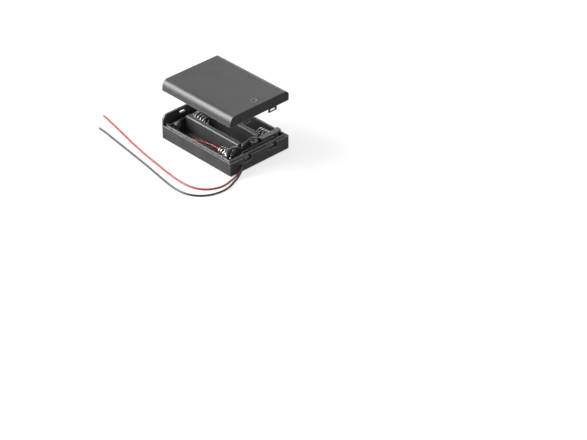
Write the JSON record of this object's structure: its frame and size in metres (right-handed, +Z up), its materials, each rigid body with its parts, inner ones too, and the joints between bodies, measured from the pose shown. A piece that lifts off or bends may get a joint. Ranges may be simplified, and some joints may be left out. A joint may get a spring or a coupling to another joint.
{
  "type": "cylindrical cell holder",
  "caption": "Box for round cells side by side, with conical springs, flat contacts, a latched and screwed cover, a slide switch underneath and two bare-ended leads.",
  "frame": {"origin": "centre of the tray's underside", "axes": "+X towards the end that the leads leave, +Y towards the switch side, +Z up out of the bays"},
  "size_m": [0.1405, 0.095, 0.0503],
  "materials": {
    "tray_plastic": "injection-moulded black ABS, fine satin",
    "cover_plastic": "injection-moulded black ABS, fine spark-eroded satin",
    "screw_steel": "zinc-plated steel",
    "spring_wire": "nickel-plated spring wire",
    "contact_sheet": "nickel-plated steel sheet",
    "switch_steel": "tin-plated steel sheet",
    "switch_laminate": "brown phenolic paper laminate",
    "slider_plastic": "moulded black acetal",
    "bridge_bronze": "phosphor bronze strip",
    "red_pvc": "extruded red PVC insulation",
    "black_pvc": "extruded black PVC insulation",
    "tinned_strand": "tinned copper strand"
  },
  "bodies": {
    "tray": {"base_tray": "tray_plastic", "contact_plus": "contact_sheet", "contact_link_12": "contact_sheet", "contact_link_23": "contact_sheet", "contact_minus": "contact_sheet", "switch_frame": "switch_steel", "switch_board": "switch_laminate", "switch_terminals": "contact_sheet", "switch_retainer": "cover_plastic", "red_lead": "red_pvc", "black_lead": "black_pvc", "red_lead_tip": "tinned_strand", "black_lead_tip": "tinned_strand", "red_lead_inner": "red_pvc", "black_lead_inner": "black_pvc", "solder_joints": "tinned_strand"},
    "cover": {"cover": "cover_plastic"},
    "screw": {"cover_screw": "screw_steel"},
    "slider": {"switch_slider": "slider_plastic", "switch_bridge": "bridge_bronze"},
    "spring_a": {"spring_1": "spring_wire"},
    "spring_b": {"spring_2": "spring_wire"},
    "spring_c": {"spring_3": "spring_wire"}
  },
  "joints": [
    {"name": "cover_lift", "type": "slide", "parent": "tray", "child": "cover", "axis": [0, 0, 1], "range_m": [-0.0295, 0]},
    {"name": "screw_turn", "type": "hinge", "parent": "cover", "child": "screw", "pos_m": [0.03, 0, 0.049], "axis": [0, 0, 1], "continuous": true},
    {"name": "switch_slide", "type": "slide", "parent": "tray", "child": "slider", "axis": [0, 1, 0], "range_m": [-0.003, 0]},
    {"name": "spring_1_press", "type": "slide", "parent": "tray", "child": "spring_a", "axis": [1, 0, 0], "range_m": [0, 0.006], "stiffness_N_per_m": 400, "deforming": ["spring_1"]},
    {"name": "spring_2_press", "type": "slide", "parent": "tray", "child": "spring_b", "axis": [-1, 0, 0], "range_m": [0, 0.006], "stiffness_N_per_m": 400, "deforming": ["spring_2"]},
    {"name": "spring_3_press", "type": "slide", "parent": "tray", "child": "spring_c", "axis": [1, 0, 0], "range_m": [0, 0.006], "stiffness_N_per_m": 400, "deforming": ["spring_3"]}
  ]
}
